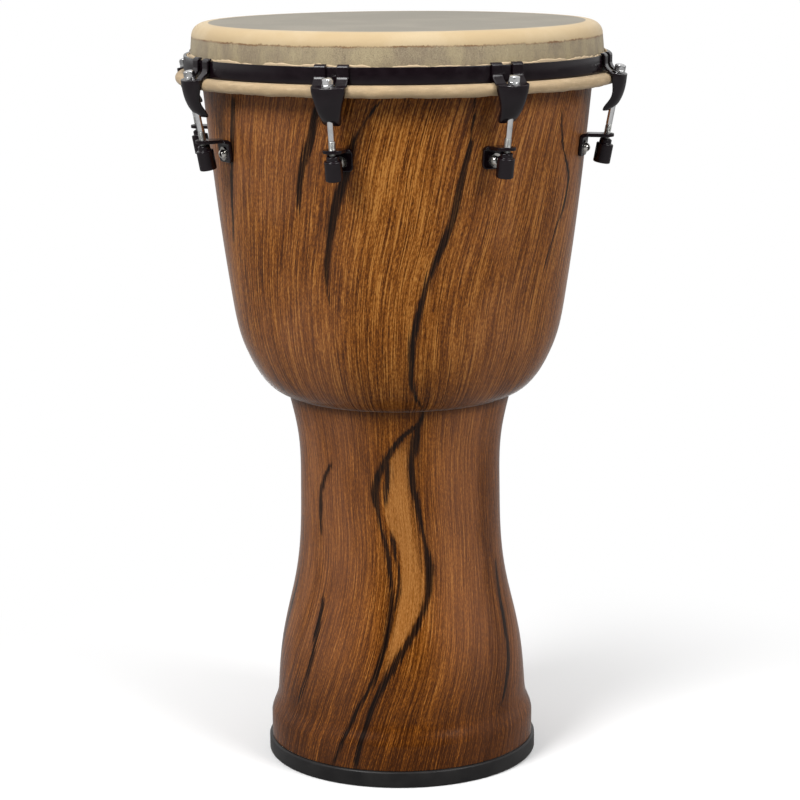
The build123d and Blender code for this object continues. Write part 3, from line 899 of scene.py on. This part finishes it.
def foot_shell():
    stem = through(STEM_POINTS, 3.0)
    outer = through(SHOULDER_POINTS, 1.5) + stem[1:]
    inner = inside(stem)
    tongue = inner[-1].y
    ledge = RING_RADIUS - RING_WALL
    band = [
        Vector((ledge, RING_HEIGHT)),
        Vector((FOOT_RADIUS - FOOT_CHAMFER, RING_HEIGHT)),
        Vector((FOOT_RADIUS, RING_HEIGHT + FOOT_CHAMFER)),
    ]
    outline = [Vector((FOOT_INNER_RADIUS, RING_FLOOR)), Vector((ledge, RING_FLOOR)), *band, *outer]
    outline += [Vector((WAIST[0] - WALL / 2, WAIST[1])), Vector((WAIST[0] - WALL / 2, tongue))]
    outline += inner[::-1] + [Vector((FOOT_INNER_RADIUS, RING_HEIGHT))]
    shell = turned("stem_and_foot", outline)
    paint(shell, wood, shell_inside)
    paint_inside(shell, radius_lookup([Vector((FOOT_RADIUS, 0))] + outer))
    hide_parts("foot_shell")
    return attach(shell, "root")


def bowl_shell():
    outer = through(BOWL_POINTS, 3.0)
    inner = inside(outer)
    tongue = inside(through(STEM_POINTS, 3.0))[-1]
    edge_radius = EDGE_CENTRE[0] + EDGE_ROUND
    crown = EDGE_CENTRE[1] + EDGE_ROUND
    inner_centre = (EDGE_CENTRE[0], crown - EDGE_INNER_ROUND)
    outline = outer + [Vector((edge_radius, RIM_HIGH_HEIGHT))]
    outline += arc(EDGE_CENTRE, EDGE_ROUND, 0, 90, 12)
    outline += arc(inner_centre, EDGE_INNER_ROUND, 90, 180, 6)
    outline += inner[::-1]
    outline += [tongue, Vector((WAIST[0] - WALL / 2, tongue.y)), Vector((WAIST[0] - WALL / 2, WAIST[1]))]
    shell = turned("bowl", outline)
    paint(shell, wood, shell_inside)
    paint_inside(shell, radius_lookup(outer + [Vector((edge_radius, RIM_HIGH_HEIGHT))]))
    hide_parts("bowl_shell")
    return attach(shell, "root")


def base_ring():
    ledge = RING_RADIUS - RING_WALL
    lip = FOOT_INNER_RADIUS - RING_LIP
    out = RING_RADIUS - RING_ROUND
    outline = [Vector((lip, RING_CHAMFER)), Vector((lip + RING_CHAMFER, 0))]
    outline += arc((out, RING_ROUND), RING_ROUND, -90, 0, 6)
    outline += arc((out, RING_HEIGHT - RING_ROUND), RING_ROUND, 0, 90, 6)
    outline += [
        Vector((ledge, RING_HEIGHT)),
        Vector((ledge, RING_FLOOR)),
        Vector((FOOT_INNER_RADIUS, RING_FLOOR)),
        Vector((FOOT_INNER_RADIUS, RING_LIP_HEIGHT - RING_LIP_CHAMFER)),
        Vector((FOOT_INNER_RADIUS - RING_LIP_CHAMFER, RING_LIP_HEIGHT)),
        Vector((lip + RING_LIP_CHAMFER, RING_LIP_HEIGHT)),
        Vector((lip, RING_LIP_HEIGHT - RING_LIP_CHAMFER)),
    ]
    ring = turned("rubber_base_ring", outline)
    paint(ring, rubber)
    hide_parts("base_ring")
    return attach(ring, "root")


# ---------- head and hoop ----------


def round_noise(angle, frequency, seed):
    """Smooth noise from -1 to 1 that closes on itself round the drum."""
    return noise.noise(Vector((cos(angle) * frequency, sin(angle) * frequency, seed)))


def skin_shift(angle, radius, height):
    """How an uneven skin strays from its outline, as (outward, upward)."""
    if height > EDGE_CENTRE[1] or radius < COLLAR[0][0] - 2 * SKIN:
        return (0.0, 0.0)
    if radius > 180.5 and height > RAGGED_FROM:
        ragged = round_noise(angle, 9.0, 1.7) * 2.0 + round_noise(angle, 40.0, 4.1) * 1.1 - 0.9
        rise = (height - RAGGED_FROM) / (TUCK_TOP - RAGGED_FROM)
        return (round_noise(angle, 22.0, 8.3) * 0.15, ragged * rise)
    if height < ROLL_TOP and radius > 181:
        out = round_noise(angle, 16.0, 2.9) * 0.45 + round_noise(angle, 60.0, 6.6) * 0.24
        up = round_noise(angle, 12.0, 5.3) * 0.70 + round_noise(angle, 45.0, 3.2) * 0.32
        return (out * 0.6, up if height < 611 else 0.0)
    share = min(1.0, (EDGE_CENTRE[1] - height) / 14)
    return (round_noise(angle, 26.0, 9.4) * 0.22 * share, 0.0)


def tangent_point(start, radius):
    """Where a line from start touches the under side of a circle round the flesh hoop's rod."""
    across = start[0] - WRAP_CENTRE[0]
    up = start[1] - WRAP_CENTRE[1]
    angle = atan2(up, across) + acos(radius / hypot(across, up))
    return degrees(angle)


def drumhead():
    outer = EDGE_ROUND + SKIN
    hollow = WRAP_ROUND - SKIN
    tail_inner = TUCK_RADIUS - SKIN
    low_out = Vector(COLLAR[2])
    low_in = Vector((COLLAR[2][0] - SKIN, COLLAR[2][1]))
    inner_touch = tangent_point(low_out, hollow) - 360
    outer_touch = tangent_point(low_in, WRAP_ROUND) - 360
    top = [Vector((EDGE_CENTRE[0] * i / 8, HEIGHT)) for i in range(8)]
    collar = through(COLLAR, 2.5)
    outline = top + arc(EDGE_CENTRE, outer, 90, 0, 14) + collar[1:]
    outline += arc(WRAP_CENTRE, hollow, inner_touch, ROLL_END, 26)
    rise = (TUCK_TOP - TAIL_LOW) / TAIL_STEPS
    tail = [Vector((tail_inner, TAIL_LOW + rise * i)) for i in range(TAIL_STEPS + 1)]
    outline += tail + [Vector((TUCK_RADIUS - SKIN / 2, TUCK_TOP + 0.5))]
    outline += [Vector((p.x + SKIN, p.y)) for p in tail[:1:-1]]
    outline += [Vector((TUCK_RADIUS, HOOP_LOW))]
    outline += arc(WRAP_CENTRE, WRAP_ROUND, ROLL_END, outer_touch, 26)
    outline += [Vector((p.x - SKIN, p.y)) for p in collar[:0:-1]]
    outline += arc(EDGE_CENTRE, EDGE_ROUND, 0, 90, 14)
    outline += [Vector((p.x, HEIGHT - SKIN)) for p in top[::-1]]
    skin = turned("goatskin_head", outline, SKIN_STEPS, skin_shift)
    paint(skin, skin_leather)
    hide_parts("drumhead_skin")
    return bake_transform(skin)


def counter_hoop():
    corners = (
        ((HOOP_INNER_RADIUS + HOOP_EDGE, HOOP_LOW + HOOP_EDGE), 180),
        ((HOOP_OUTER_RADIUS - HOOP_EDGE, HOOP_LOW + HOOP_EDGE), 270),
        ((HOOP_OUTER_RADIUS - HOOP_EDGE, HOOP_HIGH - HOOP_EDGE), 0),
        ((HOOP_INNER_RADIUS + HOOP_EDGE, HOOP_HIGH - HOOP_EDGE), 90),
    )
    outline = []
    for centre, start in corners:
        outline += arc(centre, HOOP_EDGE, start, start + 90, 3)
    hoop = turned("black_counter_hoop", outline)
    paint(hoop, coating)
    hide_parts("counter_hoop")
    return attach(hoop, "hoop")


foot_shell()
bowl_shell()
base_ring()
drumhead()
counter_hoop()


# ---------- lugs ----------


def lofted(name, loops):
    """A closed solid through loops of as many points each."""
    work = bmesh.new()
    rows = [[work.verts.new(Vector(point) * MM) for point in loop] for loop in loops]
    for low, high in zip(rows, rows[1:]):
        for i in range(len(low)):
            j = (i + 1) % len(low)
            work.faces.new((low[i], low[j], high[j], high[i]))
    work.faces.new(rows[0][::-1])
    work.faces.new(rows[-1])
    bmesh.ops.recalc_face_normals(work, faces=work.faces)
    mesh = bpy.data.meshes.new(name)
    work.to_mesh(mesh)
    work.free()
    smooth(mesh)
    return mesh


def rings(name, rows, steps, wave=None):
    """A closed solid round Z from (radius, height) rows, with an optional radius wave."""
    loops = []
    for row, (radius, height) in enumerate(rows):
        loop = []
        for i in range(steps):
            angle = 2 * pi * i / steps
            r = radius + (wave(row, angle, height) if wave else 0.0)
            loop.append((r * cos(angle), r * sin(angle), height))
        loops.append(loop)
    return lofted(name, loops)


def with_modifiers(mesh, *modifiers):
    """The mesh after modifiers, each given as its kind and its settings."""
    thing = new_object("work", mesh)
    for kind, settings in modifiers:
        modifier = thing.modifiers.new(kind, kind)
        for name, value in settings.items():
            setattr(modifier, name, value)
    found = bpy.data.meshes.new_from_object(
        thing.evaluated_get(bpy.context.evaluated_depsgraph_get())
    )
    bpy.data.objects.remove(thing)
    return found


def softened(mesh, voxel, rounds=5, kept=0.4):
    """The mesh as one skin with its edges rounded, as a thick coat of paint leaves them."""
    found = with_modifiers(
        mesh,
        ("REMESH", {"mode": "VOXEL", "voxel_size": voxel * MM}),
        ("SMOOTH", {"factor": 0.5, "iterations": rounds}),
        ("DECIMATE", {"ratio": kept}),
    )
    found.shade_smooth()
    return found


def cut(mesh, tool_mesh):
    tool = new_object("tool", tool_mesh)
    found = with_modifiers(mesh, ("BOOLEAN", {"operation": "DIFFERENCE", "object": tool}))
    bpy.data.objects.remove(tool)
    return found


def joined(meshes):
    work = bmesh.new()
    for mesh in meshes:
        work.from_mesh(mesh)
    found = bpy.data.meshes.new("joined")
    work.to_mesh(found)
    work.free()
    return found


def claw_top(x):
    """The height of the claw's top plane, which is square to the rod."""
    rod_x = ROD_FOOT[0] + (CLAW_TOP_HEIGHT - ROD_FOOT[1]) * tan(LEAN)
    return CLAW_TOP_HEIGHT - (x - rod_x) * tan(LEAN)


def plate_underside(x):
    return claw_top(x) - CLAW_PLATE / cos(LEAN)


def hood_loop(height, back, front, width, top=None):
    """A level section with straight sides and a half-oval front, or one on a tilted plane."""
    bulge = HOOD_BULGE * (front - back)
    middle = front - bulge
    half = width / 2
    angles = [radians(-90 + 7.5 * i) for i in range(25)]
    points = [(middle + bulge * cos(a), half * sin(a)) for a in angles]
    points += [(middle + (back - middle) * i / 3, half) for i in range(1, 4)]
    points += [(back, half - width * i / 10) for i in range(1, 10)]
    points += [(back + (middle - back) * i / 3, -half) for i in range(3)]
    return [(x, y, top(x) if top else height) for x, y in points]


def hood_mesh():
    sections = through(HOOD_SECTIONS, 1.2)
    outside = [hood_loop(*sections[0], top=claw_top)]
    outside += [hood_loop(*section) for section in sections if section[0] < HOOD_LEVEL_TOP]
    inner = [
        (height, back - 2 * CLAW_WALL, front - CLAW_WALL, width - 2 * CLAW_WALL)
        for height, back, front, width in sections
        if HOLLOW_END < height < HOLLOW_TOP
    ]
    hollow = [hood_loop(*inner[0], top=plate_underside)] + [hood_loop(*section) for section in inner]
    hole = rings("hole", [(CLAW_HOLE_RADIUS, along_rod(end)) for end in HOLE_ENDS], 32)
    hole.transform(ROD_MATRIX)
    return cut(cut(lofted("hood", outside), lofted("hollow", hollow)), hole)


def tab_mesh(side):
    """One of the two tabs that run up the hoop's outer face and fold over its top."""
    (tip_x, tip_z), fold, low, foot = TAB_PATH
    path = [Vector((tip_x, tip_z))]
    path += arc(fold, TAB_BENDS[0], 90, 0, 10)
    path += arc(low, TAB_BENDS[1], 180, 225, 8)
    path += [Vector(foot)]
    loops = []
    for i, point in enumerate(path):
        along = (path[min(i + 1, len(path) - 1)] - path[max(i - 1, 0)]).normalized()
        across = Vector((-along.y, along.x)) * TAB_THICKNESS / 2
        loop = []
        for out, y in ((1, 1), (1, -1), (-1, -1), (-1, 1)):
            place = point + across * out
            loop.append((place.x, side * TAB_OFFSET + y * TAB_WIDTH / 2, place.y))
        loops.append(loop)
    return lofted("tab", loops)


def claw_mesh():
    return softened(joined([hood_mesh(), tab_mesh(1), tab_mesh(-1)]), CLAW_VOXEL, rounds=9)


def rod_mesh():
    """The threaded rod: a rolled thread below, a plain shank above."""
    start = ROD_END
    thread_start = start + 0.6
    thread_top = along_rod(THREAD_TOP_HEIGHT)
    under_head = along_rod(CLAW_TOP_HEIGHT) + WASHER
    root = ROD_THREAD_RADIUS - THREAD_DEPTH
    count = round((thread_top - start) / THREAD_PITCH * THREAD_STEPS)
    rows = [(ROD_TIP_RADIUS, start), (root, start + 0.5)]
    first = len(rows)
    for i in range(count + 1):
        rows.append((root, thread_start + (thread_top - start - 0.6) * i / count))
    last = len(rows)
    rows += [(ROD_SHANK_RADIUS, thread_top + 0.4), (ROD_SHANK_RADIUS, under_head + 0.2)]

    def wave(row, angle, height):
        if not first <= row < last:
            return 0.0
        phase = (height / THREAD_PITCH - angle / (2 * pi)) % 1.0
        ridge = 1 - abs(phase - 0.5) * 2
        fade = min(1.0, (row - first) / THREAD_STEPS, (last - 1 - row) / THREAD_STEPS)
        return THREAD_DEPTH * fade * min(1.0, max(0.0, ridge * 1.35 - 0.15))

    return rings("rod", rows, ROD_STEPS, wave)


def head_mesh():
    """The hex head with its pressed collar and chamfered, domed top."""
    base = along_rod(CLAW_TOP_HEIGHT) + WASHER + HEAD_CLEARANCE
    half = HEAD_ACROSS_FLATS / 2

    def hexagon(row, angle, height):
        limit = HEAD_ROWS[row][1]
        face = (angle + pi / 6) % (pi / 3) - pi / 6
        return min(half / cos(face), limit) if row >= HEAD_FLATS_FROM else limit

    rows = [(0.0, base + height) for height, limit in HEAD_ROWS]
    return rings("head", rows, HEAD_STEPS, hexagon)


def place_rod(number, shank, head):
    matrix = lug_matrix(number) @ ROD_MATRIX
    rod = new_object(f"threaded_rod_{number}", shank)
    rod.matrix_world = matrix
    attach(rod, f"rod_{number}")
    cap = new_object(f"rod_head_{number}", head)
    cap.matrix_world = matrix
    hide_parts(f"tension_rod_{number}")
    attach(cap, f"rod_{number}")


def place_claw(number, claw):
    cover = new_object(f"cast_claw_{number}", claw)
    cover.matrix_world = lug_matrix(number)
    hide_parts(f"claw_{number}")
    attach(cover, "hoop")


def place_coated(number):
    """A lug's nut and bracket, as softened copies of the CAD's."""
    for part, body in (("swivel_nut", f"nut_{number}"), ("lug_bracket", "root")):
        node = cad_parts[f"{part}_{number}"]
        piece = new_object(f"coated_{part}_{number}", softened(node.data, COATED_VOXEL))
        paint(piece, coating)
        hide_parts(f"{part}_{number}")
        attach(piece, body)


def place_lugs():
    shank = rod_mesh()
    head = head_mesh()
    claw = claw_mesh()
    claw.materials.append(coating)
    for number in range(1, LUG_COUNT + 1):
        place_rod(number, shank, head)
        place_claw(number, claw)
        place_coated(number)
    shank.materials.append(chrome)
    shank.materials.append(thread_steel)
    top = along_rod(THREAD_TOP_HEIGHT) * MM
    for face in shank.polygons:
        face.material_index = 1 if face.center.z < top else 0
    head.materials.append(chrome)


place_lugs()

CAD_FINISH = {
    "flesh_hoop": thread_steel,
    "rod_washers": chrome,
    "bracket_bolts": nickel,
    "bracket_washers": nickel,
    "inner_washers": chrome,
    "bracket_nuts": thread_steel,
}
for node, material in CAD_FINISH.items():
    paint(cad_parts[node], material)


# ---------- stage ----------


def area_light(name, place, target, size, power):
    lamp = bpy.data.lights.new(name, "AREA")
    lamp.shape = "DISK"
    lamp.size = size
    lamp.energy = power
    thing = new_object(name, lamp)
    thing.location = place
    thing.rotation_euler = (Vector(target) - Vector(place)).to_track_quat("-Z", "Y").to_euler()


def pale_floor():
    """A pale floor that fades to white, and that the drum sees darker than the camera does."""
    reach = FLOOR_REACH
    corners = [(-reach, -reach, 0), (reach, -reach, 0), (reach, reach, 0), (-reach, reach, 0)]
    floor_mesh = bpy.data.meshes.new("floor")
    floor_mesh.from_pydata(corners, [], [(0, 1, 2, 3)])
    floor = new_object("floor", floor_mesh)
    graph = Finish("floor")
    seen = graph.nodes.new("ShaderNodeLightPath").outputs["Is Camera Ray"]
    x, y, z = graph.parts(graph.place)
    far = graph.between(graph.length(graph.vector(x, y, 0.0)), 0.25, 0.60)
    graph.set(Base_Color=graph.mix(seen, (0.34, 0.34, 0.34), (0.95, 0.95, 0.95)))
    graph.set(Roughness=0.9, Specular_IOR_Level=0.0)
    white = graph.nodes.new("ShaderNodeEmission")
    either = graph.nodes.new("ShaderNodeMixShader")
    graph.put(either.inputs[0], graph.times(far, seen))
    graph.links.new(graph.shader.outputs[0], either.inputs[1])
    graph.links.new(white.outputs[0], either.inputs[2])
    graph.links.new(either.outputs[0], graph.output.inputs[0])
    floor_mesh.materials.append(graph.material)


def studio_world():
    """A white backdrop for the camera, with a soft glow from behind for the drum."""
    world = bpy.data.worlds.new("studio")
    bpy.context.scene.world = world
    world.use_nodes = True
    graph = Graph(world.node_tree)
    seen = graph.nodes.new("ShaderNodeLightPath").outputs["Is Camera Ray"]
    x, y, z = graph.parts(graph.nodes.new("ShaderNodeTexCoord").outputs["Generated"])
    glow = graph.between(y, -0.80, 0.10, 0.10, 0.90)
    background = graph.nodes.new("ShaderNodeBackground")
    graph.put(background.inputs["Strength"], graph.math("MAXIMUM", glow, seen))
    output = graph.nodes.new("ShaderNodeOutputWorld")
    graph.links.new(background.outputs[0], output.inputs[0])


def stage():
    pale_floor()
    studio_world()
    for name, place, target, power in LAMPS:
        area_light(name, place, target, LAMP_SIZE, power)


def camera():
    lens = bpy.data.cameras.new("camera")
    lens.sensor_width = CAMERA_SENSOR
    lens.lens = CAMERA_LENS
    eye = new_object("camera", lens)
    down = Matrix.Rotation(radians(90 - CAMERA_DOWN), 4, "X")
    roll = Matrix.Rotation(radians(CAMERA_ROLL), 4, "Z")
    eye.matrix_world = Matrix.Translation(CAMERA_PLACE) @ down @ roll
    bpy.context.scene.camera = eye
    bpy.context.scene.view_settings.view_transform = "Standard"


stage()
camera()
